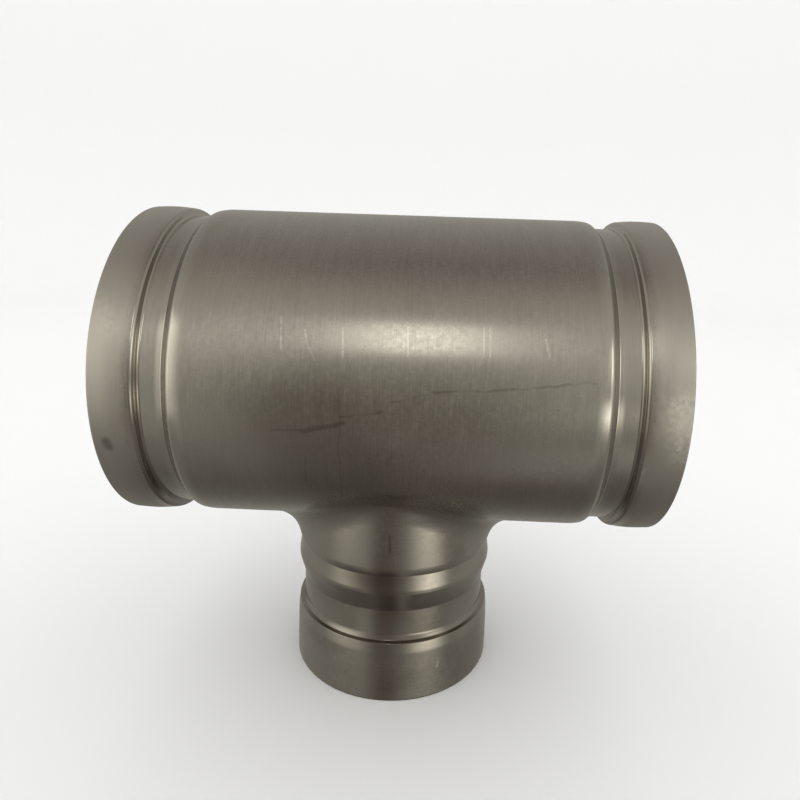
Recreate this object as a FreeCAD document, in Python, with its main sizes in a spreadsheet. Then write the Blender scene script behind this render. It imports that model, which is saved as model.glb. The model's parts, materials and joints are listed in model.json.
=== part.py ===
import FreeCAD, Part
import math
import os

import Sketcher

# A grooved reducing tee in thin stainless pipe: one seamless shell, rolled and drawn from a single tube.
# The tee stands on the end of its branch. Z is up along the branch axis, X runs along the main tube,
# and the origin is the centre of the branch's end face. All sizes are in millimetres.

# Each row is a name, its value and what it measures.
SIZES = (
    ("run_diameter", 114.3, "outside of the main tube"),
    ("run_length", 185.8, "main tube, end face to end face"),
    ("pipe_wall", 3.05, "wall of the tube everywhere"),
    ("run_lip_rise", 0.5, "how far the rolled lip flares out past the tube at each run end"),
    ("run_lip_land", 7.5, "straight part of that lip, from the end face"),
    ("run_seat", 14.2, "whole lip of a run end, end face to groove"),
    ("run_groove_width", 8.74, "coupling groove, lip side to the foot of the shoulder"),
    ("run_groove_depth", 2.7, "coupling groove, below the tube"),
    ("run_groove_draft", 0.4, "lean of the groove's lip side"),
    ("run_lip_bevel", 0.9, "rolled edge of the lip at the groove"),
    ("run_shoulder", 1.9, "length of the slope from the groove floor back up to the tube"),
    ("run_shoulder_bevel", 1.6, "rolled edge where that slope meets the tube"),
    ("branch_diameter", 76.1, "outside of the branch lip"),
    ("neck_diameter", 74.9, "outside of the branch between its collar and the saddle"),
    ("branch_seat", 22.2, "whole lip of the branch, end face to groove"),
    ("branch_groove_width", 11.6, "coupling groove, lip side to the foot of the ramp"),
    ("branch_groove_depth", 2.45, "coupling groove, below the branch lip"),
    ("branch_groove_draft", 0.8, "lean of the groove's lip side"),
    ("branch_lip_bevel", 1.2, "rolled edge of the lip at the groove"),
    ("branch_ramp", 6.8, "length of the long slope from the groove floor up to the collar"),
    ("ramp_foot_round", 5.0, "inner bend at the foot of that slope"),
    ("collar_length", 4.8, "rolled collar between the slope and the neck"),
    ("collar_rise", 0.35, "how far the collar's lower edge stands out past the neck"),
    ("collar_round", 4.0, "outer bend at the collar's lower edge"),
    ("neck_land", 0.5, "straight neck between the collar and the saddle"),
    ("saddle_round", 13.0, "outer blend between the branch and the main tube"),
    ("end_bevel", 0.6, "outer edge of each open end"),
    ("bead_slope", 3.0, "length of each slope of the inward bead behind a groove"),
    ("cutter_reach", 2.0, "how far the bore outlines pass beyond the open ends"),
)

document = FreeCAD.newDocument("grooved_reducing_tee")
sheet = document.addObject("Spreadsheet::Sheet", "sizes")
for row, (name, value, meaning) in enumerate(SIZES, start=1):
    sheet.set("A%d" % row, name)
    sheet.set("B%d" % row, str(value))
    sheet.set("C%d" % row, meaning)
    sheet.setAlias("B%d" % row, name)
document.recompute()

# Heights above the branch's end face. The run axis follows from everything that lies below it.
RAMP_FOOT = "(sizes.branch_seat + sizes.branch_groove_width)"
RAMP_TOP = "(" + RAMP_FOOT + " + sizes.branch_ramp)"
SADDLE_FOOT = "(" + RAMP_TOP + " + sizes.collar_length + sizes.neck_land)"
RUN_LEVEL = "(" + SADDLE_FOOT + " + sizes.saddle_round + sizes.run_diameter / 2)"

# Places along the main tube, from its middle, of the two sides of the right-hand groove.
RUN_GROOVE = "(sizes.run_length / 2 - sizes.run_seat)"
RUN_SHOULDER = "(" + RUN_GROOVE + " - sizes.run_groove_width)"

# Radii of the outside, of the groove floors and of the waterway.
RUN_RADIUS = "sizes.run_diameter / 2"
RUN_LIP_RADIUS = RUN_RADIUS + " + sizes.run_lip_rise"
RUN_FLOOR = RUN_RADIUS + " - sizes.run_groove_depth"
RUN_BORE = RUN_RADIUS + " - sizes.pipe_wall"
LIP_RADIUS = "sizes.branch_diameter / 2"
BRANCH_FLOOR = LIP_RADIUS + " - sizes.branch_groove_depth"
BRANCH_BORE = LIP_RADIUS + " - sizes.pipe_wall"
NECK_RADIUS = "sizes.neck_diameter / 2"
NECK_BORE = NECK_RADIUS + " - sizes.pipe_wall"

# Two walls count as the same when their radii differ by less than this.
SAME_RADIUS = 1e-6

# How an outline's corner may be finished.
BEVEL, ROUND = "bevel", "round"

# How a sketch names a point of its geometry, its own origin and its upright axis.
START, END = 1, 2
ORIGIN, V_AXIS = (-1, START), -2


def size(expression):
    """The value of an expression over the sheet, in millimetres."""
    return float(sheet.evalExpression(expression.replace("sizes.", "")))


def plane_of(body, role):
    """The origin plane of a body that has this role."""
    return next(feature for feature in body.Origin.OriginFeatures if feature.Role == role)


def new_sketch(body, name, level=None):
    """A sketch on the body's upright XZ plane, lifted to a level if one is given."""
    sketch = body.newObject("Sketcher::SketchObject", name)
    sketch.AttachmentSupport = [(plane_of(body, "XZ_Plane"), "")]
    sketch.MapMode = "FlatFace"
    if level:
        sketch.setExpression(".AttachmentOffset.Base.y", level)
    return sketch


def hold(sketch, kind, target, name, expression):
    """A named driving size on the sketch, tied to the sheet."""
    index = sketch.addConstraint(Sketcher.Constraint(kind, *target, size(expression)))
    sketch.renameConstraint(index, name)
    sketch.setExpression("Constraints." + name, expression)


def draw_outline(sketch, corners, mirrored=False):
    """Draw a closed outline of straight sides with plain, bevelled or rounded corners.

    Each corner is (name, x, y, edge), where x and y are expressions over the sheet and edge is
    None, (BEVEL, length) or (ROUND, radius). A mirrored outline gives the right half only, from
    the H axis outwards, and the left half repeats it about the V axis.
    """
    names = [corner[0] for corner in corners]
    places = [FreeCAD.Vector(size(x), size(y), 0) for _, x, y, _ in corners]
    edges = [corner[3] for corner in corners]
    if mirrored:
        names += [name + "_left" for name in reversed(names)]
        places += [FreeCAD.Vector(-place.x, place.y, 0) for place in reversed(places)]
        edges += list(reversed(edges))
    count = len(places)

    # Where each corner's bevel or bend starts and ends, and the centre of a bend.
    bends = []
    for index, place in enumerate(places):
        before = (places[index - 1] - place).normalize()
        after = (places[(index + 1) % count] - place).normalize()
        centre = None
        reach = 0
        if edges[index]:
            form, reach = edges[index][0], size(edges[index][1])
            if form == ROUND:
                radius = reach
                half_angle = before.getAngle(after) / 2
                reach = radius / math.tan(half_angle)
                centre = place + (before + after).normalize() * (radius / math.sin(half_angle))
        bends.append((place + before * reach, place + after * reach, centre))

    # Straight sides, from the end of one bend to the start of the next.
    sides = []
    for index in range(count):
        start = bends[index][1]
        end = bends[(index + 1) % count][0]
        sides.append(sketch.addGeometry(Part.LineSegment(start, end), False))

    marks = []
    for index, place in enumerate(places):
        mark = sketch.addGeometry(Part.Point(place), True)
        marks.append(mark)
        side_in, side_out = sides[index - 1], sides[index]
        entry, leave, centre = bends[index]
        if edges[index] is None:
            sketch.addConstraint(Sketcher.Constraint("Coincident", side_in, END, side_out, START))
            sketch.addConstraint(Sketcher.Constraint("Coincident", mark, START, side_out, START))
        else:
            sketch.addConstraint(Sketcher.Constraint("PointOnObject", mark, START, side_in))
            sketch.addConstraint(Sketcher.Constraint("PointOnObject", mark, START, side_out))
        if centre is not None:
            turn = (place - entry).cross(leave - place).z
            first, last = (entry, leave) if turn > 0 else (leave, entry)
            start_angle = math.atan2(first.y - centre.y, first.x - centre.x)
            end_angle = math.atan2(last.y - centre.y, last.x - centre.x)
            circle = Part.Circle(centre, FreeCAD.Vector(0, 0, 1), (first - centre).Length)
            bend = sketch.addGeometry(Part.ArcOfCircle(circle, start_angle, end_angle), False)
            near, far = (START, END) if turn > 0 else (END, START)
            sketch.addConstraint(Sketcher.Constraint("Tangent", side_in, END, bend, near))
            sketch.addConstraint(Sketcher.Constraint("Tangent", bend, far, side_out, START))
            hold(sketch, "Radius", (bend,), names[index] + "_round", edges[index][1])
        elif edges[index]:
            bevel = sketch.addGeometry(Part.LineSegment(entry, leave), False)
            sketch.addConstraint(Sketcher.Constraint("Coincident", side_in, END, bevel, START))
            sketch.addConstraint(Sketcher.Constraint("Coincident", bevel, END, side_out, START))
            for end, (line, point) in (("in", (side_in, END)), ("out", (side_out, START))):
                hold(sketch, "Distance", (mark, START, line, point),
                     names[index] + "_bevel_" + end, edges[index][1])
        if index < len(corners):
            hold(sketch, "DistanceX", ORIGIN + (mark, START), names[index] + "_x", corners[index][1])
            hold(sketch, "DistanceY", ORIGIN + (mark, START), names[index] + "_y", corners[index][2])
        else:
            twin = marks[2 * len(corners) - 1 - index]
            sketch.addConstraint(Sketcher.Constraint("Symmetric", twin, START, mark, START, V_AXIS))


def revolve(body, kind, name, sketch, axis):
    """Turn a sketch once round one of its own axes, to add to the body or to cut from it."""
    feature = body.newObject(kind, name)
    feature.Profile = sketch
    feature.ReferenceAxis = (sketch, [axis])
    feature.Angle = 360
    sketch.Visibility = False
    document.recompute()
    return feature


def shared_edges(shape, radius_a, radius_b):
    """Names of the edges where a round wall of one radius meets a round wall of the other."""
    def walls(radius):
        return [face for face in shape.Faces
                if isinstance(face.Surface, Part.Cylinder)
                and abs(face.Surface.Radius - radius) < SAME_RADIUS]

    hashes_a = {edge.hashCode() for face in walls(radius_a) for edge in face.Edges}
    hashes_b = {edge.hashCode() for face in walls(radius_b) for edge in face.Edges}
    return ["Edge%d" % number for number, edge in enumerate(shape.Edges, start=1)
            if edge.hashCode() in hashes_a and edge.hashCode() in hashes_b]


def blend(body, name, base, radius_a, radius_b, rounding):
    """Round the saddle-shaped edge between two crossing tubes."""
    edges = shared_edges(base.Shape, size(radius_a), size(radius_b))
    if not edges:
        raise RuntimeError(name + ": the two tubes share no edge")
    feature = body.newObject("PartDesign::Fillet", name)
    feature.Base = (base, edges)
    feature.setExpression("Radius", rounding)
    document.recompute()
    return feature


# The tee is one piece, so one body holds the outside of both tubes and then the waterway through them.
tee = document.addObject("PartDesign::Body", "tee_body")
tee.Label = "tee_body"

# Outside of the main tube: a lip that flares out a little, a square-sided coupling groove and a
# shoulder at each end.
run_outside = new_sketch(tee, "run_outside", RUN_LEVEL)
draw_outline(run_outside, (
    ("axis_end", "sizes.run_length / 2", "0", None),
    ("lip_end", "sizes.run_length / 2", RUN_LIP_RADIUS, (BEVEL, "sizes.end_bevel")),
    ("lip_bend", "sizes.run_length / 2 - sizes.run_lip_land", RUN_LIP_RADIUS, None),
    ("lip_edge", RUN_GROOVE, RUN_RADIUS, (BEVEL, "sizes.run_lip_bevel")),
    ("groove_root", RUN_GROOVE + " - sizes.run_groove_draft", RUN_FLOOR, None),
    ("shoulder_foot", RUN_SHOULDER, RUN_FLOOR, None),
    ("shoulder_top", RUN_SHOULDER + " - sizes.run_shoulder", RUN_RADIUS,
     (BEVEL, "sizes.run_shoulder_bevel")),
), mirrored=True)
run_solid = revolve(tee, "PartDesign::Revolution", "run_solid", run_outside, "H_Axis")

# Outside of the branch: a long lip, a groove with one long ramp, a low collar and the neck that
# goes up into the main tube.
branch_outside = new_sketch(tee, "branch_outside")
draw_outline(branch_outside, (
    ("axis_foot", "0", "0", None),
    ("lip_end", LIP_RADIUS, "0", (BEVEL, "sizes.end_bevel")),
    ("lip_edge", LIP_RADIUS, "sizes.branch_seat", (BEVEL, "sizes.branch_lip_bevel")),
    ("groove_root", BRANCH_FLOOR, "sizes.branch_seat + sizes.branch_groove_draft", None),
    ("ramp_foot", BRANCH_FLOOR, RAMP_FOOT, (ROUND, "sizes.ramp_foot_round")),
    ("collar_edge", NECK_RADIUS + " + sizes.collar_rise", RAMP_TOP, (ROUND, "sizes.collar_round")),
    ("neck_foot", NECK_RADIUS, RAMP_TOP + " + sizes.collar_length", None),
    ("neck_top", NECK_RADIUS, RUN_LEVEL, None),
    ("axis_top", "0", RUN_LEVEL, None),
))
branch_solid = revolve(tee, "PartDesign::Revolution", "branch_solid", branch_outside, "V_Axis")

saddle = blend(tee, "saddle", branch_solid, RUN_RADIUS, NECK_RADIUS, "sizes.saddle_round")

# Waterway of the main tube: its wall follows the outside, so a bead stands in behind each groove.
run_inside = new_sketch(tee, "run_inside", RUN_LEVEL)
draw_outline(run_inside, (
    ("axis_end", "sizes.run_length / 2 + sizes.cutter_reach", "0", None),
    ("mouth", "sizes.run_length / 2 + sizes.cutter_reach", RUN_BORE, None),
    ("bead_foot", RUN_GROOVE + " + sizes.bead_slope", RUN_BORE, None),
    ("bead_crest", RUN_GROOVE, RUN_FLOOR + " - sizes.pipe_wall", None),
    ("bead_crest_back", RUN_SHOULDER, RUN_FLOOR + " - sizes.pipe_wall", None),
    ("bead_foot_back", RUN_SHOULDER + " - sizes.bead_slope", RUN_BORE, None),
), mirrored=True)
run_waterway = revolve(tee, "PartDesign::Groove", "run_waterway", run_inside, "H_Axis")

# Waterway of the branch, with the same kind of bead.
branch_inside = new_sketch(tee, "branch_inside")
draw_outline(branch_inside, (
    ("axis_foot", "0", "0 - sizes.cutter_reach", None),
    ("mouth", BRANCH_BORE, "0 - sizes.cutter_reach", None),
    ("bead_foot", BRANCH_BORE, "sizes.branch_seat - sizes.bead_slope", None),
    ("bead_crest", BRANCH_FLOOR + " - sizes.pipe_wall", "sizes.branch_seat", None),
    ("bead_crest_back", BRANCH_FLOOR + " - sizes.pipe_wall", RAMP_FOOT, None),
    ("bead_foot_back", NECK_BORE, RAMP_TOP, None),
    ("neck_top", NECK_BORE, RUN_LEVEL, None),
    ("axis_top", "0", RUN_LEVEL, None),
))
branch_waterway = revolve(tee, "PartDesign::Groove", "branch_waterway", branch_inside, "V_Axis")

# The inner edge of the crossing is rounded about the same line as the saddle, so the wall stays even.
crotch = blend(tee, "crotch", branch_waterway, RUN_BORE, NECK_BORE, "sizes.saddle_round + sizes.pipe_wall")

document.recompute()
for item in document.Objects:
    if "Invalid" in item.State or "Error" in item.State:
        raise RuntimeError(item.Name + " failed: " + ", ".join(item.State))
shape = tee.Shape
if shape.isNull() or not shape.isValid() or len(shape.Solids) != 1:
    raise RuntimeError("the tee is not one valid solid")

os.makedirs("parts", exist_ok=True)
shape.exportStep(os.path.join("parts", tee.Label + ".step"))

box = shape.BoundBox
print("tee_body: volume %.1f mm3, box %.2f..%.2f, %.2f..%.2f, %.2f..%.2f mm"
      % (shape.Volume, box.XMin, box.XMax, box.YMin, box.YMax, box.ZMin, box.ZMax))
print("run axis %.2f mm above the branch end, saddle foot at %.2f mm" % (size(RUN_LEVEL), size(SADDLE_FOOT)))
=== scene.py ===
import json
import math

import bmesh
import bpy
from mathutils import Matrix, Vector


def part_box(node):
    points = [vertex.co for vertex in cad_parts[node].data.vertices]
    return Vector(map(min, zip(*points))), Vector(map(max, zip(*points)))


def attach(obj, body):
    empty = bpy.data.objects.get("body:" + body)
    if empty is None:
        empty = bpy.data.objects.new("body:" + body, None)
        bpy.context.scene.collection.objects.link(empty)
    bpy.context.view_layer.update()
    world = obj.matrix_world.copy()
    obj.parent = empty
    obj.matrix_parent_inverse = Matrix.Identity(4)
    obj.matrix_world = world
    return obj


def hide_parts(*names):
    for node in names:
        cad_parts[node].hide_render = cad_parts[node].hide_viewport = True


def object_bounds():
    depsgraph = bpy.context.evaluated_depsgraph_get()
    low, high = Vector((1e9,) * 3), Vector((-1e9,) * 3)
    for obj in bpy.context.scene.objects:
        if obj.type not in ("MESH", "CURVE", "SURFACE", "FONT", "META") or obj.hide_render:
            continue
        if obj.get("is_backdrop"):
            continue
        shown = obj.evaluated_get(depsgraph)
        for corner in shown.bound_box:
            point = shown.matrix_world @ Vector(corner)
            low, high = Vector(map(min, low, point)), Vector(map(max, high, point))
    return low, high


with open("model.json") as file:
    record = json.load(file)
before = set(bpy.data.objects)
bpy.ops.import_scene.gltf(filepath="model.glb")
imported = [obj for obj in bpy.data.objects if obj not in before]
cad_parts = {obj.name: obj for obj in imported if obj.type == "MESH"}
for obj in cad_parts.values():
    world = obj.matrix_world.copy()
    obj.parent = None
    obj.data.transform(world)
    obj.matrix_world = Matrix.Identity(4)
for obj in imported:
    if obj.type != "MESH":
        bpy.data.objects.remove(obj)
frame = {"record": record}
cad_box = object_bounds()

# ---- Tee ----
# The real piece is one seamless shell of thin stainless pipe. Its coupling grooves are rolled in between
# two wheels, so each stands in as a bead inside, and its branch is drawn out of the main tube's side,
# which leaves a soft saddle of even wall. All sizes in this section are in millimetres.
MM = 0.001


def mount(name):
    """One of the record's mounts."""
    return next(item for item in frame["record"]["mounts"] if item["name"] == name)


lip_radius = mount("run_lip_right")["dims"]["r_mm"]
run_level = mount("run_lip_right")["pos_m"][2] / MM
run_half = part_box("tee_body")[1].x / MM
wall = 3.05
lip_rise = 0.5
tube_radius = lip_radius - lip_rise
tube_bore = tube_radius - wall

# How finely the skin is divided. The ends of the main tube are turned; in its middle, which the saddle
# grows out of, columns of faces stand round the branch.
middle_half = 54.0
steps_round = 40
steps_along = 20
quarter = steps_round + steps_along
columns = 4 * quarter
bend_step = math.radians(9)


def rolled_outline(corners):
    """Points (along, radius, normal along, normal radius) round corners (along, radius, bend radius)."""
    points = []
    for index, (along, radius, bend) in enumerate(corners):
        corner = Vector((along, radius))
        if index in (0, len(corners) - 1):
            near = corners[1] if index == 0 else corners[index - 1]
            way = (Vector(near[:2]) - corner) * (1 if index == 0 else -1)
            way.normalize()
            points.append((along, radius, -way.y, way.x))
            continue
        way_in = (corner - Vector(corners[index - 1][:2])).normalized()
        way_out = (Vector(corners[index + 1][:2]) - corner).normalized()
        turn = math.atan2(way_in.x * way_out.y - way_in.y * way_out.x, way_in.dot(way_out))
        start = corner - way_in * bend * math.tan(abs(turn) / 2)
        side = 1 if turn > 0 else -1
        centre = start + Vector((-way_in.y, way_in.x)) * bend * side
        steps = max(2, math.ceil(abs(turn) / bend_step))
        heading = math.atan2(way_in.y, way_in.x)
        for step in range(steps + 1):
            angle = heading + turn * step / steps
            normal = Vector((-math.sin(angle), math.cos(angle)))
            place = centre - normal * bend * side
            points.append((place.x, place.y, normal.x, normal.y))
    return points


# A run end, from the middle outwards along the outside, round the lip and back along the inside.
run_groove_depth = 2.7
run_groove_width = 8.74
run_lip_length = 14.2
run_lip_edge = run_half - run_lip_length
run_shoulder = run_lip_edge - run_groove_width
run_floor = tube_radius - run_groove_depth
rim_bend = 0.8
bore_bend = 0.5
bead_slope = 3.0
bead_bend = 2.4
run_outline = rolled_outline((
    (middle_half, tube_radius, 0),
    (run_shoulder - 4.6, tube_radius, 20),
    (run_shoulder - 1.6, tube_radius - 0.5, 3.4),
    (run_shoulder + 0.7, run_floor + 0.15, 1.0),
    (run_shoulder + 2.6, run_floor, 14),
    (run_lip_edge - 0.4, run_floor, 1.1),
    (run_lip_edge, tube_radius - 0.1, 1.4),
    (run_lip_edge + 7, lip_radius + 0.11, 40),
    (run_half, lip_radius - 0.25, rim_bend),
    (run_half, tube_bore, bore_bend),
    (run_lip_edge + bead_slope, tube_bore, 3.0),
    (run_lip_edge, tube_bore - run_groove_depth, bead_bend),
    (run_shoulder, tube_bore - run_groove_depth, bead_bend),
    (run_shoulder - bead_slope, tube_bore, 3.0),
    (middle_half, tube_bore, 0),
))

# The branch has a lip, a groove, a long ramp up from the groove, a low collar and the neck. These
# places are heights above its end face.
branch_radius = mount("branch_lip")["dims"]["r_mm"]
branch_bore = branch_radius - wall
branch_groove_depth = 2.45
branch_floor = branch_radius - branch_groove_depth
branch_lip_edge = 22.2
branch_groove_width = 11.6
ramp_foot = branch_lip_edge + branch_groove_width
ramp_height = 6.8
collar_edge = ramp_foot + ramp_height
collar_height = 4.8
neck_foot = collar_edge + collar_height
neck_radius = 37.45
neck_bore = neck_radius - wall

# Where the drawing tool's ring sat, it left a shallow crease round the neck, and the band below the
# crease swells out a little on its way down to the collar.
crease_level = 47.6
crease_depth = 0.45
crease_above = 3.0
band_slope = math.tan(math.radians(8))
band_end = neck_foot + 0.44
band_radius = neck_radius - crease_depth + band_slope * (crease_level - band_end)
collar_crown = 42.3

# Down the branch from its neck, round the lip and back up inside. Heights count downwards here.
branch_outline = rolled_outline((
    (-band_end, band_radius, 0),
    (-collar_crown, band_radius + band_slope * (band_end - collar_crown), 6),
    (-collar_edge - 0.3, neck_radius + 0.27, 2.5),
    (-ramp_foot, branch_floor, 2.5),
    (-branch_lip_edge - 1.9, branch_floor, 4),
    (-branch_lip_edge - 0.35, branch_floor + 0.55, 0.5),
    (-branch_lip_edge, branch_radius - 0.55, 0.3),
    (-branch_lip_edge + 0.9, branch_radius - 0.44, 0),
    (-branch_lip_edge + 3.6, branch_radius - 0.12, 14),
    (-branch_lip_edge + 10, branch_radius, 40),
    (0, branch_radius, rim_bend),
    (0, branch_bore, bore_bend),
    (bead_slope - branch_lip_edge, branch_bore, 3.0),
    (-branch_lip_edge, branch_floor - wall, bead_bend),
    (-ramp_foot, branch_floor - wall, 5.0),
    (-collar_edge, neck_bore, 4.0),
    (-neck_foot, neck_bore, 0),
))

# The saddle is what a ball leaves that rolls round the corner between neck and main tube. Its faces
# are closer together from just above the crease to just below it.
saddle_round = 13.0
reach_steps = 10
saddle_steps = 14
dense_above = crease_above + 0.2
dense_below = 1.5
dense_steps = 12
band_steps = 2


def crease_dip(level):
    """How far the skin dips in at a level near the crease, and how fast that changes with height."""
    if level < crease_level:
        return crease_depth - band_slope * (crease_level - level), band_slope
    share = max(0.0, 1 - (level - crease_level) / crease_above)
    return crease_depth * share ** 2, -2 * crease_depth * share / crease_above


body = bmesh.new()
normal_layer = body.verts.layers.float_vector.new("skin_normal")
branch_layer = body.verts.layers.float.new("branch_share")
polish_layer = body.verts.layers.float.new("groove_polish")
# A share of painted shade, with some dirt, that darkens the grooves and the branch's crease.
shade_dirt_layer = body.verts.layers.float.new("skin_shade_and_dirt")
lip_layer = body.verts.layers.float.new("lip_share")
uv_layer = body.loops.layers.uv.new("OFBake")
skin = {}

# The flat charts of the skin lie side by side on a square sheet, for the finish to be drawn on.
chart_side = 540.0
chart_gap = 4.0
outer_turn = 2 * math.pi * tube_radius
end_chart_height = 92.0
tube_chart_height = 2 * middle_half + chart_gap
branch_chart_left = outer_turn + 2 * chart_gap
branch_chart_turn = 2 * math.pi * neck_radius * 1.2


def skin_point(place, normal, branch_share=0.0, polish=0.0, shade_dirt_share=0.0, lip_share=0.0):
    """A point of the tee's skin, made once however often it is asked for."""
    key = tuple(round(value * 1e4) for value in place)
    if key not in skin:
        vertex = body.verts.new(Vector(place) * MM)
        vertex[normal_layer] = Vector(normal).normalized()
        vertex[branch_layer] = branch_share
        vertex[polish_layer] = polish
        vertex[shade_dirt_layer] = shade_dirt_share
        vertex[lip_layer] = lip_share
        skin[key] = vertex
    return skin[key]


def skin_strips(rows):
    """Faces between each row of (point, chart place) and the next."""
    for first, second in zip(rows, rows[1:]):
        for around in zip(first, first[1:], second[1:], second):
            corners = [point for point, chart in around]
            if len(set(corners)) < 4:
                continue
            face = body.faces.new(corners)
            face.smooth = True
            for loop, (point, chart) in zip(face.loops, around):
                loop[uv_layer].uv = Vector(chart) / chart_side


def lengths_along(points):
    """Distance covered at each point of a list of places."""
    covered = [0.0]
    for before, after in zip(points, points[1:]):
        covered.append(covered[-1] + (Vector(after) - Vector(before)).length)
    return covered


def fade_in(value, start, full):
    """A share that rises from 0 at a start to 1 at a full value."""
    return min(1.0, max(0.0, (value - start) / (full - start)))


def fade_out(value, full, end):
    """A share that falls from 1 at a full value to 0 at an end."""
    return fade_in(-value, -end, -full)


def near_groove(along):
    """A share that is 1 in a main tube's groove and fades out on both sides of it."""
    return (fade_in(along, run_shoulder - 7, run_shoulder - 3)
            * fade_out(along, run_lip_edge + 1, run_lip_edge + 4))


def groove_polish(along):
    """How far the roller has polished the skin; it doesn't touch the shoulder's slope, which is dull."""
    dull_start, dull_end, dull_slope = run_shoulder - 0.9, run_shoulder + 0.5, -2.0
    return dull_slope if dull_start < along < dull_end else near_groove(along)


def groove_shade_and_dirt(along, normal_along, height):
    """How much painted shade, with some dirt, lies on a lip's wall, most of it lower down, and on the
    shoulder's upper slope.
    """
    if along < run_shoulder + 3:
        return 0.5 * fade_in(abs(normal_along), 0.4, 0.6) * fade_in(height, 5, 25)
    steep_wall_shade_dirt = fade_in(abs(normal_along), 0.8, 0.97) * (0.2 + 0.55 * fade_out(height, 38, 51))
    low_wall_shade_dirt = fade_in(abs(normal_along), 0.15, 0.5) * fade_out(height, 5, 13)
    return max(steep_wall_shade_dirt, 0.85 * low_wall_shade_dirt) * near_groove(along)


def branch_shade_and_dirt(place, normal):
    """How much painted shade, with some dirt, lies on the branch: in its groove, on its ramp, and in and
    below the crease in front.
    """
    height = place.z
    turned = math.degrees(math.atan2(place.x, -place.y))
    lip_edge_shade_dirt = fade_in(abs(normal.z), 0.15, 0.45) if height < ramp_foot - 3 else 0.0
    # Painted shade is strongest at the front of the lip's groove.
    lip_edge_shade_dirt *= 0.15 + 0.85 * fade_out(abs(turned), 7, 19)
    ramp_shade_dirt = fade_in(height, ramp_foot - 0.7, ramp_foot) * fade_out(height, ramp_foot + 0.5, collar_edge)
    # A dark patch of painted shade in and below the crease, most of it straight in front.
    front_crease_shade = fade_in(height, collar_edge - 4, crease_level - 2)
    front_crease_shade *= fade_out(height, crease_level, crease_level + 3) * fade_out(abs(turned + 7), 8, 31)
    return max(lip_edge_shade_dirt, 0.6 * ramp_shade_dirt, front_crease_shade)


# The two ends of the main tube, turned all the way round.
outline_lengths = lengths_along([point[:2] for point in run_outline])
for end, side in enumerate((1, -1)):
    rows = []
    for spoke in range(4 * steps_round + 1):
        angle = math.pi / 2 * spoke / steps_round
        row = []
        for (x, radius, normal_x, normal_r), covered in zip(run_outline, outline_lengths):
            height = -radius * math.cos(angle)
            outside = radius > tube_bore + 0.1
            row.append((
                skin_point(
                    (side * x, radius * math.sin(angle), run_level + height),
                    (side * normal_x, normal_r * math.sin(angle), -normal_r * math.cos(angle)),
                    polish=groove_polish(x) if outside else 0.0,
                    shade_dirt_share=groove_shade_and_dirt(x, normal_x, height) if outside else 0.0,
                    lip_share=fade_in(x, run_lip_edge + 0.5, run_lip_edge + 4),
                ),
                (chart_gap + outer_turn * spoke / (4 * steps_round),
                 chart_gap + end * end_chart_height + covered),
            ))
        rows.append(row)
    skin_strips(rows)


def tube_point(x, angle, radius, facing):
    """A point on the plain wall of the main tube, at an angle from straight down, with its chart place."""
    out = (0, facing * math.sin(angle), -facing * math.cos(angle))
    place = (x, radius * math.sin(angle), run_level - radius * math.cos(angle))
    chart_row = 0 if facing == 1 else 1
    chart = (chart_gap + outer_turn / 2 + radius * angle,
             2 * end_chart_height + chart_row * tube_chart_height + chart_gap + middle_half + x)
    return skin_point(place, out), chart


# The plain upper half of the main tube between its ends, outside and inside, front and back.
for radius, facing in ((tube_radius, 1), (tube_bore, -1)):
    for half in (1, -1):
        skin_strips([
            [tube_point(middle_half * step / steps_along, half * (math.pi / 2) * (1 + spoke / steps_round),
                        radius, facing)
             for spoke in range(steps_round + 1)]
            for step in range(-steps_along, steps_along + 1)
        ])


def rim_of_column(column):
    """Where a column round the branch meets the upper half or the ends: (x, angle from straight down)."""
    turn = column % columns
    folded = turn % (2 * quarter)
    if folded > quarter:
        folded = 2 * quarter - folded
    if folded <= steps_round:
        x, angle = middle_half, math.pi / 2 * folded / steps_round
    else:
        x, angle = middle_half * (quarter - folded) / steps_along, math.pi / 2
    if quarter < turn < 3 * quarter:
        x = -x
    if turn > 2 * quarter:
        angle = -angle
    return x, angle


def saddle_arc(turn, radius, neck, rounding):
    """The rolling ball's centre at a turn round the branch, and its two directions of touch."""
    across = (neck + rounding) * math.sin(turn)
    drop = math.sqrt((radius + rounding) ** 2 - across ** 2)
    centre = Vector(((neck + rounding) * math.cos(turn), across, run_level - drop))
    to_tube = Vector((0, -across, drop)) / (radius + rounding)
    to_neck = Vector((-math.cos(turn), -math.sin(turn), 0))
    return centre, to_tube, to_neck


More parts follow.
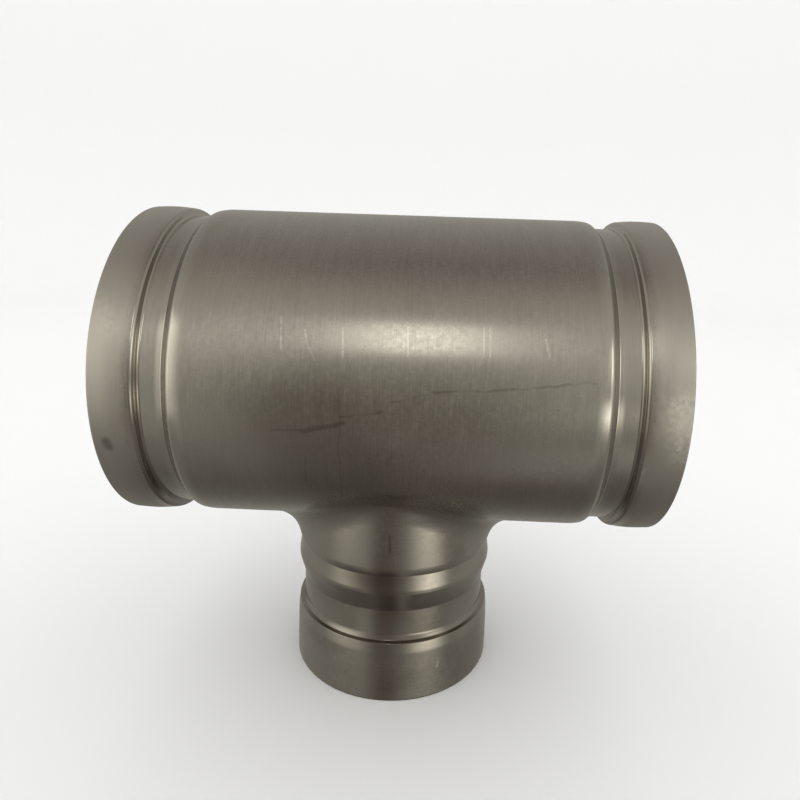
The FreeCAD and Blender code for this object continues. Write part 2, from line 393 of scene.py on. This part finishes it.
def saddle_side(column, facing):
    """A column's skin points from rim to saddle, then (place, normal, share) on over it and down the neck."""
    turn = 2 * math.pi * column / columns
    inset = 0 if facing == 1 else wall
    rounding = saddle_round + inset
    radius = tube_radius - inset
    centre, to_tube, to_neck = saddle_arc(turn, radius, neck_radius - inset, rounding)
    rim_x, rim_angle = rim_of_column(column)
    touch = centre + to_tube * rounding
    touch_angle = math.atan2(touch.y, run_level - touch.z)
    tube = []
    for step in range(reach_steps + 1):
        share = step / reach_steps
        x = rim_x + (touch.x - rim_x) * share
        angle = rim_angle + (touch_angle - rim_angle) * share
        tube.append(tube_point(x, angle, radius, facing))

    # Distances down the column: the arc comes first, then the straight neck.
    spread = to_tube.angle(to_neck)
    arc_length = rounding * spread
    foot = band_end if facing == 1 else neck_foot
    whole = arc_length + centre.z - foot
    if centre.z >= crease_level:
        crease_at = arc_length + centre.z - crease_level
    else:
        lift = (crease_level - centre.z) * math.sin(spread) / (rounding * to_tube.z)
        crease_at = arc_length - rounding * math.asin(lift)
    dense_start = crease_at - dense_above
    dense_step = (dense_above + dense_below) / dense_steps
    band = whole - crease_at - dense_below
    stops = [dense_start * step / saddle_steps for step in range(saddle_steps)]
    stops += [dense_start + dense_step * (step + 0.5) for step in range(dense_steps)]
    stops += [crease_at + dense_below + band * step / band_steps for step in range(band_steps)]
    links = []
    for stop in stops:
        share = min(1.0, stop / arc_length)
        tube_part, neck_part = math.sin(spread * (1 - share)), math.sin(spread * share)
        way = (to_tube * tube_part + to_neck * neck_part) / math.sin(spread)
        place = centre + way * rounding
        place.z -= max(0.0, stop - arc_length)
        normal = -way * facing
        if facing == 1:
            dip, climb = crease_dip(place.z)
            upright = Vector((0, 0, 1))
            place -= normal * dip
            normal += (upright - normal * normal.z) * climb
        links.append((place, normal.normalized(), share))
    return turn, tube, links


# The lower half of the middle: columns that run from the rim in over the saddle, down the branch
# outside, round its lip, up inside and out over the inner saddle.
rows_outside, rows_branch, rows_inside = [], [], []
for column in range(columns + 1):
    turn, tube_outside, links_outside = saddle_side(column, 1)
    _, tube_inside, links_inside = saddle_side(column, -1)
    rows_outside.append(tube_outside)
    rows_inside.append(tube_inside)
    chain = list(links_outside)
    for below, radius, normal_down, normal_r in branch_outline:
        chain.append((
            Vector((radius * math.cos(turn), radius * math.sin(turn), -below)),
            Vector((normal_r * math.cos(turn), normal_r * math.sin(turn), -normal_down)),
            1.0,
        ))
    chain += reversed(links_inside)
    covered = lengths_along([place for place, normal, share in chain])
    row = []
    for (place, normal, share), length in zip(chain, covered):
        outside = math.hypot(place.x, place.y) > branch_floor - 0.01 and place.z < crease_level + 8
        polish = fade_in(place.z, branch_lip_edge - 5, branch_lip_edge - 1) if outside else 0.0
        polish *= fade_out(place.z, crease_level + 1, crease_level + 4)
        row.append((
            skin_point(place, normal, share, polish, branch_shade_and_dirt(place, normal) * polish),
            (branch_chart_left + length, chart_gap + branch_chart_turn * column / columns),
        ))
    rows_branch.append(row)
for rows in (rows_outside, rows_branch, rows_inside):
    skin_strips(rows)

bmesh.ops.remove_doubles(body, verts=body.verts, dist=0.001 * MM)
bmesh.ops.recalc_face_normals(body, faces=body.faces)
if any(not edge.is_manifold for edge in body.edges):
    raise RuntimeError("the tee's skin is not closed")
body_mesh = bpy.data.meshes.new("tee_shell")
body.to_mesh(body_mesh)
body.free()
skin_normals = [Vector(item.vector) for item in body_mesh.attributes["skin_normal"].data]
body_mesh.attributes.remove(body_mesh.attributes["skin_normal"])
body_mesh.normals_split_custom_set_from_vertices(skin_normals)
tee = bpy.data.objects.new("tee_shell", body_mesh)
bpy.context.collection.objects.link(tee)

# The finish. The tube is satin stainless, brushed round its axis before the branch is drawn out, and
# the branch is brushed round its own. Handling has left scratches, smudges and a few stains on it.
steel_dark, steel_light = (0.57, 0.55, 0.485), (0.64, 0.62, 0.555)
branch_steel = (0.43, 0.41, 0.362)
rubbed_steel = (0.80, 0.77, 0.70)
scratched_steel = (0.95, 0.92, 0.85)
old_dirt = (0.16, 0.13, 0.10)
# The tone of the painted shade and dirt in the grooves.
shade_dirt_tone = (0.16, 0.125, 0.115)
stain_brown = (0.10, 0.075, 0.055)


def add_node(tree, kind, label, **settings):
    """A node with its settings, named in plain words."""
    made = tree.nodes.new(kind)
    made.name = made.label = label
    for name, value in settings.items():
        setattr(made, name, value)
    return made


def feed(tree, socket, value):
    """Link an output to a socket, or set a plain number, place or colour on it."""
    if isinstance(value, bpy.types.NodeSocket):
        tree.links.new(value, socket)
    elif socket.type == "RGBA":
        socket.default_value = (*value, 1)
    else:
        socket.default_value = value


def math_node(tree, operation, label, *values, clamp=False):
    """The result of a sum on numbers."""
    made = add_node(tree, "ShaderNodeMath", label, operation=operation, use_clamp=clamp)
    for socket, value in zip(made.inputs, values):
        feed(tree, socket, value)
    return made.outputs[0]


def vector_node(tree, operation, label, first, second=None, scale=None):
    """The result of a sum on vectors: a number for a length or a dot product, else a vector."""
    made = add_node(tree, "ShaderNodeVectorMath", label, operation=operation)
    feed(tree, made.inputs[0], first)
    if second is not None:
        feed(tree, made.inputs[1], second)
    if scale is not None:
        feed(tree, made.inputs["Scale"], scale)
    return made.outputs["Value" if operation in ("LENGTH", "DOT_PRODUCT") else "Vector"]


def mix_values(tree, label, share, first, second):
    """A number between two others."""
    made = add_node(tree, "ShaderNodeMix", label, data_type="FLOAT")
    for index, value in ((0, share), (2, first), (3, second)):
        feed(tree, made.inputs[index], value)
    return made.outputs[0]


def mix_colours(tree, label, share, first, second):
    """A colour between two others."""
    made = add_node(tree, "ShaderNodeMix", label, data_type="RGBA")
    for index, value in ((0, share), (6, first), (7, second)):
        feed(tree, made.inputs[index], value)
    return made.outputs[2]


def spread_range(tree, label, value, low, high, new_low=0.0, new_high=1.0, **settings):
    """A number taken from one range to another, and held inside it."""
    made = add_node(tree, "ShaderNodeMapRange", label, **settings)
    for name, given in (("Value", value), ("From Min", low), ("From Max", high),
                        ("To Min", new_low), ("To Max", new_high)):
        feed(tree, made.inputs[name], given)
    return made.outputs[0]


def new_group(name, inputs, outputs):
    """An empty node group with named number and vector sockets."""
    group = bpy.data.node_groups.new(name, "ShaderNodeTree")
    for direction, sockets in (("INPUT", inputs), ("OUTPUT", outputs)):
        for socket_name, kind in sockets:
            group.interface.new_socket(socket_name, in_out=direction, socket_type=kind)
    return group, group.nodes.new("NodeGroupInput"), group.nodes.new("NodeGroupOutput")


NUMBER, PLACE = "NodeSocketFloat", "NodeSocketVector"

# Brush lines: noise drawn out into long lines round the main tube, or round the branch.
brush, brush_in, brush_out = new_group(
    "brush_lines",
    (("Branch Share", NUMBER), ("Lines per Metre", NUMBER), ("Length per Metre", NUMBER), ("Detail", NUMBER)),
    (("Lines", NUMBER),),
)
brush_place = add_node(brush, "ShaderNodeTexCoord", "place on the tee").outputs["Object"]
line_fields = []
for label, axis in (("round the main tube", "X"), ("round the branch", "Z")):
    stretch = add_node(brush, "ShaderNodeCombineXYZ", "stretch " + label)
    for letter in "XYZ":
        source = "Lines per Metre" if letter == axis else "Length per Metre"
        brush.links.new(brush_in.outputs[source], stretch.inputs[letter])
    drawn = vector_node(brush, "MULTIPLY", "drawn out " + label, brush_place, stretch.outputs["Vector"])
    lines = add_node(brush, "ShaderNodeTexNoise", "lines " + label)
    for name, value in (("Vector", drawn), ("Scale", 1), ("Roughness", 0.65),
                        ("Detail", brush_in.outputs["Detail"])):
        feed(brush, lines.inputs[name], value)
    line_fields.append(lines.outputs[0])
brush.links.new(
    mix_values(brush, "run or branch", brush_in.outputs["Branch Share"], *line_fields),
    brush_out.inputs["Lines"],
)

# One stroke of a scratch, stain or smudge, between two places on the unrolled main tube.
stroke, stroke_in, stroke_out = new_group(
    "surface_stroke",
    (("Place", PLACE), ("From", PLACE), ("To", PLACE), ("Half Width", NUMBER), ("Soft Edge", NUMBER)),
    (("Mask", NUMBER),),
)
stroke_start, half_width = stroke_in.outputs["From"], stroke_in.outputs["Half Width"]
stroke_way = vector_node(stroke, "SUBTRACT", "way of the stroke", stroke_in.outputs["To"], stroke_start)
from_start = vector_node(stroke, "SUBTRACT", "way from its start", stroke_in.outputs["Place"], stroke_start)
reach = vector_node(stroke, "DOT_PRODUCT", "reach along it", from_start, stroke_way)
whole_reach = vector_node(stroke, "DOT_PRODUCT", "whole reach", stroke_way, stroke_way)
reach_share = math_node(stroke, "DIVIDE", "share along it", reach, whole_reach, clamp=True)
nearest = vector_node(stroke, "SCALE", "nearest place on it", stroke_way, scale=reach_share)
off_stroke = vector_node(stroke, "SUBTRACT", "way off the stroke", from_start, nearest)
off_distance = vector_node(stroke, "LENGTH", "distance off the stroke", off_stroke)
outer_edge = math_node(stroke, "ADD", "outer edge", half_width, stroke_in.outputs["Soft Edge"])
stroke.links.new(
    spread_range(stroke, "fade", off_distance, half_width, outer_edge, 1, 0,
                 interpolation_type="SMOOTHSTEP"),
    stroke_out.inputs["Mask"],
)

steel = bpy.data.materials.new("brushed_stainless")
steel.use_nodes = True
tree = steel.node_tree
shader = tree.nodes["Principled BSDF"]
shader.inputs["Metallic"].default_value = 1
shader.inputs["Anisotropic"].default_value = 0.35


def read_share(attribute):
    """A share that the skin carries."""
    return add_node(tree, "ShaderNodeAttribute", attribute, attribute_name=attribute).outputs["Fac"]


branch_share = read_share("branch_share")
polish_share = read_share("groove_polish")
# Painted shade with some dirt, as the skin carries it.
skin_shade_and_dirt = read_share("skin_shade_and_dirt")
lip_share = read_share("lip_share")


def brush_lines(label, lines, length, detail):
    """Brush lines of one coarseness."""
    made = add_node(tree, "ShaderNodeGroup", label, node_tree=brush)
    for name, value in (("Branch Share", branch_share), ("Lines per Metre", lines),
                        ("Length per Metre", length), ("Detail", detail)):
        feed(tree, made.inputs[name], value)
    return made.outputs["Lines"]


fine_lines = brush_lines("fine brush lines", 1700, 110, 1)
broad_lines = brush_lines("broad brush bands", 260, 24, 2)
tee_place = add_node(tree, "ShaderNodeTexCoord", "place on the tee").outputs["Object"]


def noise_field(label, scale, detail):
    """Soft noise over the tee, with its size per metre."""
    made = add_node(tree, "ShaderNodeTexNoise", label)
    for name, value in (("Vector", tee_place), ("Scale", scale), ("Detail", detail)):
        feed(tree, made.inputs[name], value)
    return made


# Unrolled place on the outside of the main tube: along it, and up from its front, in millimetres.
place_parts = add_node(tree, "ShaderNodeSeparateXYZ", "parts of the place")
tree.links.new(tee_place, place_parts.inputs[0])
above_axis = math_node(tree, "SUBTRACT", "height over the axis", place_parts.outputs["Z"], run_level * MM)
in_front = math_node(tree, "MULTIPLY", "forward of the axis", place_parts.outputs["Y"], -1.0)
climb = math_node(tree, "ARCTAN2", "angle up from the front", above_axis, in_front)
unrolled_parts = add_node(tree, "ShaderNodeCombineXYZ", "unrolled place")
feed(tree, unrolled_parts.inputs["X"],
     math_node(tree, "MULTIPLY", "along in millimetres", place_parts.outputs["X"], 1 / MM))
feed(tree, unrolled_parts.inputs["Y"],
     math_node(tree, "MULTIPLY", "climb in millimetres", climb, tube_radius))
unrolled = unrolled_parts.outputs["Vector"]

# The marks lie on the outside only: this share is 1 there and 0 on the inside of the main tube.
above_squared = math_node(tree, "MULTIPLY", "height squared", above_axis, above_axis)
off_axis = math_node(tree, "MULTIPLY_ADD", "distance from the axis squared",
                     in_front, in_front, above_squared)
mark_depth = 1.5
innermost_mark = (tube_radius - mark_depth) * MM
outside_share = math_node(tree, "GREATER_THAN", "on the outside", off_axis, innermost_mark ** 2)

# A slow wander bends the strokes, so that none is a ruled line.
wander = noise_field("wander", 180, 2)
wander_off = vector_node(tree, "SUBTRACT", "wander both ways", wander.outputs["Color"], (0.5, 0.5, 0.5))
wander_mm = vector_node(tree, "SCALE", "wander in millimetres", wander_off, scale=1.6)
bent_place = vector_node(tree, "ADD", "bent place", unrolled, wander_mm)


def strokes(label, paths, half_width, soft_edge, place=bent_place):
    """The mask of several strokes, each a list of (along, degrees up from the front)."""
    mask = None
    for path in paths:
        for start, stop in zip(path, path[1:]):
            made = add_node(tree, "ShaderNodeGroup", label, node_tree=stroke)
            tree.links.new(place, made.inputs["Place"])
            for name, (along, degrees) in (("From", start), ("To", stop)):
                made.inputs[name].default_value = (along, tube_radius * math.radians(degrees), 0)
            made.inputs["Half Width"].default_value = half_width
            made.inputs["Soft Edge"].default_value = soft_edge
            found = made.outputs["Mask"]
            mask = found if mask is None else math_node(tree, "MAXIMUM", label + " together", mask, found)
    return mask


dark_scratch = strokes("dark scratch", (
    ((-36.0, -10.7), (-25.2, -10.5), (-14.4, -7.6)),
    ((-14.3, -5.6), (-1.6, -3.2)),
), 0.05, 0.8)
heavy_scratch = strokes("heavy scratch", (
    ((-26.0, -10.5), (-17.0, -8.6), (-13.8, -7.4)),
), 0.1, 1.4)
long_scratch = strokes("long scratch", (
    ((14.0, 3.6), (34.1, 4.9), (52.1, 6.8), (60.1, 8.6), (63.0, 8.2)),
), 0.0, 0.7)
faint_scratch = strokes("faint scratch", (
    ((0.0, -0.6), (6.0, 0.9), (12.5, 2.6)),
    ((-14.5, 4.0), (-15.2, -40.0)),
    ((-25.6, -20.1), (-26.5, -32.0)),
), 0.0, 0.5)
bright_scratch = strokes("bright scratch", (
    ((-33.8, 25.4), (-32.9, 14.8)),
    ((-26.0, 21.2), (-25.0, 16.6), (-22.4, 12.1)),
    ((-14.4, 22.6), (-13.9, 13.3)),
    ((5.5, 23.4), (5.9, 14.1)),
    ((28.7, 24.3), (28.9, 15.0)),
    ((30.6, 24.3), (30.8, 15.0)),
    ((47.5, 21.0), (49.0, 15.0)),
    ((18.6, -72.3), (18.9, -72.3)),
), 0.05, 0.4, unrolled)
neck_mark = strokes("neck mark", (((0.5, -55.0), (0.8, -57.4)),), 0.15, 0.5, unrolled)
left_smudge = strokes("left smudge", (((-90.0, 26.7), (-86.5, 19.0)),), 0.2, 5.5)
right_smudge = strokes("right smudge", (((89.5, 1.0), (92.0, -11.6)),), 1.5, 7.5)
# A darker patch low on the front of the main tube.
low_front_patch = strokes("dark patch low in front", (((-26.0, -8.0), (-14.0, -30.0)),), 7, 20)
stain = strokes("lip stain", (((-88.2, -17.0), (-87.8, -18.8)),), 0.4, 2.2)

# Smudges and polish are uneven: fine mottles break them up, and cloudy patches show where the sheet
# took the polish unevenly.
mottle = noise_field("fine mottles", 620, 2).outputs[0]
cloud = noise_field("cloudy patches", 42, 3).outputs[0]
mottle_share = spread_range(tree, "mottle share", mottle, 0.38, 0.64)
smudge = math_node(tree, "MAXIMUM", "both smudges", right_smudge,
                   math_node(tree, "MULTIPLY", "fainter smudge", left_smudge, 0.45))
smudge = math_node(tree, "MULTIPLY", "broken smudge", smudge, mottle_share)

# Colour: warm grey steel with darker brush lines, duller on the branch and rubbed lighter on the lips.
# Thin dirt lies on it in patches, a darker patch lies low in front, and painted shade with some dirt darkens
# the grooves.
line_tone = mix_values(tree, "line tone", 0.45, fine_lines, broad_lines)
patch_tone = mix_values(tree, "patch tone", 0.4, line_tone, cloud)
tone = spread_range(tree, "tone of the steel", patch_tone, 0.36, 0.64)
branch_patches = math_node(tree, "MULTIPLY", "patches on the branch", branch_share,
                           spread_range(tree, "dirty patches", cloud, 0.47, 0.66, 0.0, 0.32))
# The darker patch low in front, together with the dirt patches on the branch.
outer_dark_patch = math_node(tree, "MULTIPLY", "depth of the dark patch", 0.3,
                         math_node(tree, "MULTIPLY", "dark patch on the outside", low_front_patch, outside_share))
patch_darkening = math_node(tree, "MAXIMUM", "patch and dirt together", outer_dark_patch, branch_patches)
colour = mix_colours(tree, "steel", tone, steel_dark, steel_light)
colour = mix_colours(tree, "duller branch", branch_share, colour, branch_steel)
colour = mix_colours(tree, "darkened by patches", patch_darkening, colour, old_dirt)
colour = mix_colours(tree, "rubbed lips", math_node(tree, "MULTIPLY", "lip tone", lip_share, 0.35),
                     colour, rubbed_steel)
# Painted shade with some dirt darkens the grooves, the branch's ramp and its crease in front.
colour = mix_colours(tree, "painted shade and dirt in the grooves",
                     math_node(tree, "MULTIPLY", "painted shade depth", skin_shade_and_dirt, 0.72), colour, shade_dirt_tone)

# The dark marks: the long scratch across the front breaks off and comes back.
breaks = spread_range(tree, "breaks in the scratches", wander.outputs[0], 0.40, 0.62, 0.2, 0.55)
marks = math_node(tree, "MAXIMUM", "dark and long scratches", dark_scratch,
                  math_node(tree, "MULTIPLY", "long scratch depth", long_scratch, 0.75))
marks = math_node(tree, "MULTIPLY", "broken scratches", marks, breaks)
for label, mask, depth in (
    ("faint scratch", faint_scratch, 0.25),
    ("heavy scratch", heavy_scratch, 0.42),
    ("neck mark", neck_mark, 0.5),
):
    marks = math_node(tree, "MAXIMUM", "marks with the " + label, marks,
                      math_node(tree, "MULTIPLY", label + " depth", mask, depth))
marks = math_node(tree, "MULTIPLY", "dark marks outside", marks, outside_share)
stain = math_node(tree, "MULTIPLY", "stain outside", stain, outside_share)
colour = mix_colours(tree, "scratched", marks, colour, old_dirt)
colour = mix_colours(tree, "stained", math_node(tree, "MULTIPLY", "stain depth", stain, 0.5),
                     colour, stain_brown)

# The bright marks: fresh scratches and the smudges on the lips.
scratch_shine = math_node(tree, "MULTIPLY", "scratch shine", bright_scratch,
                          mix_values(tree, "broken shine", mottle_share, 0.25, 0.6))
shine = math_node(tree, "MAXIMUM", "scratches and smudges", scratch_shine,
                  math_node(tree, "MULTIPLY", "smudge shine", smudge, 0.75))
shine = math_node(tree, "MULTIPLY", "bright marks outside", shine, outside_share)
colour = mix_colours(tree, "bright marks", shine, colour, scratched_steel)
tree.links.new(colour, shader.inputs["Base Color"])

# Gloss: satin, a little duller in the lines, the smudges and the lips, and brighter where it is rolled.
gloss = mix_values(tree, "line gloss", fine_lines, 0.20, 0.31)
for label, more in (
    ("rolled grooves", math_node(tree, "MULTIPLY", "polish gloss", polish_share, -0.08)),
    ("mottles", mix_values(tree, "mottle gloss", mottle, -0.09, 0.09)),
    ("smudges", math_node(tree, "MULTIPLY", "smudge gloss", smudge, 0.12)),
    ("lips", math_node(tree, "MULTIPLY", "lip gloss", lip_share, 0.15)),
):
    gloss = math_node(tree, "ADD", "gloss with the " + label, gloss, more)
tree.links.new(gloss, shader.inputs["Roughness"])

# Height: the brush lines are cut in, but only by hundredths of a millimetre.
relief = add_node(tree, "ShaderNodeBump", "relief")
relief.inputs["Strength"].default_value = 0.18
relief.inputs["Distance"].default_value = 0.02 * MM
tree.links.new(mix_values(tree, "lines and mottles", 0.6, fine_lines, mottle), relief.inputs["Height"])
tree.links.new(relief.outputs["Normal"], shader.inputs["Normal"])

# The brush spreads reflections along each tube's own axis; on the saddle the two ways mix.
run_way = add_node(tree, "ShaderNodeCombineXYZ", "way of the main tube")
tree.links.new(math_node(tree, "SIGN", "side of the branch", place_parts.outputs["X"]), run_way.inputs["X"])
spread_way = add_node(tree, "ShaderNodeMix", "way of the spread", data_type="VECTOR")
for index, value in ((0, branch_share), (4, run_way.outputs["Vector"]), (5, (0, 0, 1))):
    feed(tree, spread_way.inputs[index], value)
tree.links.new(spread_way.outputs[1], shader.inputs["Tangent"])

tee.data.materials.append(steel)
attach(tee, "root")
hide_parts("tee_body")


# ---- Photo table ----
# A plain pale sheet that the tee stands on. It curves up all round into a low wall, so no edge or
# horizon shows behind the tee. The steel doesn't mirror it, and reflects the dim room instead.
table_flat = 1.3
table_curve = 0.5
table_wall = 1.0
curve_steps = 12
table_steps = 96

table_line = [(0.0, 0.0), (table_flat, 0.0)]
for step in range(1, curve_steps + 1):
    angle = math.pi / 2 * step / curve_steps
    table_line.append((table_flat + table_curve * math.sin(angle), table_curve * (1 - math.cos(angle))))
table_line.append((table_flat + table_curve, table_wall))
table_sheet = bmesh.new()
for (radius_a, height_a), (radius_b, height_b) in zip(table_line, table_line[1:]):
    for step in range(table_steps):
        turns = [2 * math.pi * (step + more) / table_steps for more in (0, 1)]
        ring = [(radius_a, height_a, turns[0]), (radius_b, height_b, turns[0]),
                (radius_b, height_b, turns[1]), (radius_a, height_a, turns[1])]
        corners = [table_sheet.verts.new((radius * math.cos(turn), radius * math.sin(turn), height))
                   for radius, height, turn in (ring[:3] if radius_a == 0 else ring)]
        table_sheet.faces.new(corners).smooth = True
bmesh.ops.remove_doubles(table_sheet, verts=table_sheet.verts, dist=1e-5)
table_mesh = bpy.data.meshes.new("photo_table")
table_sheet.to_mesh(table_mesh)
table_sheet.free()
table = bpy.data.objects.new("photo_table", table_mesh)
bpy.context.collection.objects.link(table)
table.visible_glossy = False
pale_paper = bpy.data.materials.new("pale_paper")
pale_paper.use_nodes = True
paper_shader = pale_paper.node_tree.nodes["Principled BSDF"]
paper_shader.inputs["Base Color"].default_value = (0.92, 0.92, 0.915, 1)
paper_shader.inputs["Roughness"].default_value = 0.9
paper_shader.inputs["Specular IOR Level"].default_value = 0.1
table.data.materials.append(pale_paper)
table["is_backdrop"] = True


# ---- Room ----
# Soft even light from all round for the table. In the steel the room is dim: a dark work top below,
# plain walls that are lighter at the sides, and a darker ceiling. Windows stand left and right in
# front, the right one with a low glow under it, and a bench on each side catches a little light.
table_light = (1.12, 1.12, 1.12)
room = bpy.data.worlds.new("room")
bpy.context.scene.world = room
room.use_nodes = True
room_tree = room.node_tree
room_light = room_tree.nodes["Background"]
room_light.inputs["Strength"].default_value = 1
room_way = add_node(room_tree, "ShaderNodeTexCoord", "way into the room").outputs["Generated"]
room_parts = add_node(room_tree, "ShaderNodeSeparateXYZ", "parts of the way")
room_tree.links.new(room_way, room_parts.inputs[0])
room_height = math_node(room_tree, "MULTIPLY_ADD", "height in the room", room_parts.outputs["Z"], 0.5, 0.5)
room_front = math_node(room_tree, "MULTIPLY", "way forward", room_parts.outputs["Y"], -1.0)
room_turn = math_node(room_tree, "ARCTAN2", "turn to the right", room_parts.outputs["X"], room_front)


def room_tones(label, tones):
    """Colours of one side of the room, given by their angle from straight down to straight up."""
    made = add_node(room_tree, "ShaderNodeValToRGB", label)
    ramp = made.color_ramp
    while len(ramp.elements) < len(tones):
        ramp.elements.new(0.5)
    for element, (degrees, colour) in zip(ramp.elements, tones):
        element.position = (math.sin(math.radians(degrees)) + 1) / 2
        element.color = (*colour, 1)
    room_tree.links.new(room_height, made.inputs["Fac"])
    return made.outputs["Color"]


def room_sector(label, middle, near, far, inner, outer):
    """A share that fades from inner to outer, from near to far degrees either side of a middle."""
    off = math_node(room_tree, "SUBTRACT", label + " offset", room_turn, math.radians(middle))
    off = math_node(room_tree, "ABSOLUTE", label + " distance", off)
    return spread_range(room_tree, label + " sector", off, math.radians(near), math.radians(far),
                        inner, outer, interpolation_type="SMOOTHSTEP")


front_tones = room_tones("front of the room", (
    (-90, (0.10, 0.085, 0.078)),
    (-60, (0.105, 0.088, 0.080)),
    (-40, (0.145, 0.125, 0.112)),
    (-20, (0.145, 0.128, 0.110)),
    (-5, (0.195, 0.176, 0.152)),
    (8, (0.275, 0.258, 0.228)),
    (18, (0.37, 0.352, 0.318)),
    (30, (0.38, 0.362, 0.33)),
    (45, (0.36, 0.337, 0.305)),
    (60, (0.28, 0.253, 0.228)),
    (75, (0.195, 0.168, 0.152)),
    (90, (0.152, 0.124, 0.116)),
))
side_tones = room_tones("sides of the room", (
    (-90, (0.10, 0.085, 0.078)),
    (-60, (0.18, 0.167, 0.155)),
    (-40, (0.22, 0.208, 0.187)),
    (-20, (0.31, 0.297, 0.265)),
    (0, (0.41, 0.393, 0.355)),
    (15, (0.46, 0.435, 0.395)),
    (30, (0.475, 0.453, 0.412)),
    (45, (0.40, 0.375, 0.34)),
    (60, (0.30, 0.273, 0.245)),
    (75, (0.205, 0.178, 0.161)),
    (90, (0.152, 0.124, 0.116)),
))
back_tones = room_tones("back of the room", (
    (-90, (0.10, 0.085, 0.078)),
    (-70, (0.125, 0.118, 0.108)),
    (-50, (0.24, 0.23, 0.21)),
    (-20, (0.36, 0.348, 0.32)),
    (0, (0.38, 0.365, 0.335)),
    (40, (0.315, 0.303, 0.28)),
    (60, (0.26, 0.245, 0.225)),
    (80, (0.195, 0.172, 0.160)),
    (90, (0.152, 0.124, 0.116)),
))
room_colour = mix_colours(room_tree, "front or sides", room_sector("front", -6, 4, 26, 0.0, 1.0),
                          front_tones, side_tones)
room_colour = mix_colours(room_tree, "sides or back", room_sector("back", 0, 55, 110, 0.0, 1.0),
                          room_colour, back_tones)

# Each glow has its middle and half width in degrees, counted to the right from straight in front.
unlit = (0.0, 0.0, 0.0)
window_glow, bench_glow = (1.3, 1.25, 1.12), (0.065, 0.062, 0.056)
for label, middle, half_width, tones in (
    ("left window", -53, 30, (
        (-42, unlit),
        (-30, (0.04, 0.038, 0.034)),
        (-24, (0.37, 0.353, 0.314)),
        (-15, (0.46, 0.44, 0.39)),
        (0, (0.75, 0.72, 0.64)),
        (26, (0.90, 0.86, 0.77)),
        (34, unlit),
    )),
    ("right low glow", 43, 29, (
        (-55, unlit),
        (-37, (0.09, 0.087, 0.077)),
        (-31, (0.20, 0.192, 0.17)),
        (-26, (0.75, 0.725, 0.64)),
        (-19, (1.6, 1.54, 1.37)),
        (-14, (1.2, 1.15, 1.03)),
        (-7, unlit),
    )),
    ("right window", 51, 20, (
        (-12, unlit),
        (-6, (0.40, 0.385, 0.345)),
        (-1, (0.50, 0.48, 0.43)),
        (6, window_glow),
        (19, window_glow),
        (27, unlit),
    )),
    ("left bench", -32, 18, (
        (-60, unlit),
        (-42, bench_glow),
        (-28, bench_glow),
        (-12, unlit),
    )),
    ("right bench", 22, 21, (
        (-82, unlit),
        (-66, (0.11, 0.107, 0.097)),
        (-50, (0.10, 0.097, 0.088)),
        (-36, unlit),
    )),
):
    glow = add_node(room_tree, "ShaderNodeMix", label + " added", data_type="RGBA", blend_type="ADD")
    for index, value in (
        (0, room_sector(label, middle, 0, half_width, 1.0, 0.0)),
        (6, room_colour),
        (7, room_tones(label, tones)),
    ):
        feed(room_tree, glow.inputs[index], value)
    room_colour = glow.outputs[2]
room_rays = add_node(room_tree, "ShaderNodeLightPath", "kind of ray")
room_tree.links.new(
    mix_colours(room_tree, "room or table light", room_rays.outputs["Is Glossy Ray"],
                table_light, room_colour),
    room_light.inputs["Color"],
)


# ---- Soft light ----
# One soft box, like a bright window, high in front and behind the camera.
light_distance = 1.2
light_width = 0.19
light_height = 0.42
light_glow = 1.75
light_turn = math.radians(-1.5)
light_lift = math.radians(29)
light_aim = Vector((0, 0, 0.12))
panel = bpy.data.lights.new("front_window", "AREA")
panel.shape = "RECTANGLE"
panel.size = light_width
panel.size_y = light_height
panel.energy = light_glow * math.pi * light_width * light_height
panel.color = (1.0, 0.98, 0.91)
lamp = bpy.data.objects.new("front_window", panel)
bpy.context.collection.objects.link(lamp)
light_way = Vector((
    math.sin(light_turn) * math.cos(light_lift),
    -math.cos(light_turn) * math.cos(light_lift),
    math.sin(light_lift),
))
lamp.location = light_aim + light_way * light_distance
lamp.rotation_mode = "QUATERNION"
lamp.rotation_quaternion = (-light_way).to_track_quat("-Z", "Y")


# ---- Camera ----
# Close in front of the tee and a little above it, as the photograph was taken.
camera_place = (0.01538, -0.24933, 0.16949)
camera_turns = (81.5324, -1.9026, 1.5223)
image_side = 800
focal_pixels = 651.57
optical_centre = (426.59, 322.90)
view_camera = bpy.data.cameras.new("view_camera")
view_camera.sensor_width = 36
view_camera.lens = focal_pixels / image_side * view_camera.sensor_width
view_camera.shift_x = (image_side / 2 - optical_centre[0]) / image_side
view_camera.shift_y = (optical_centre[1] - image_side / 2) / image_side
view_camera.clip_start = 0.01
camera = bpy.data.objects.new("view_camera", view_camera)
bpy.context.collection.objects.link(camera)
camera.location = camera_place
camera.rotation_euler = [math.radians(turn) for turn in camera_turns]
bpy.context.scene.camera = camera
bpy.context.scene.view_settings.view_transform = "Standard"

[[list(corner) for corner in box] for box in (cad_box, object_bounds())]
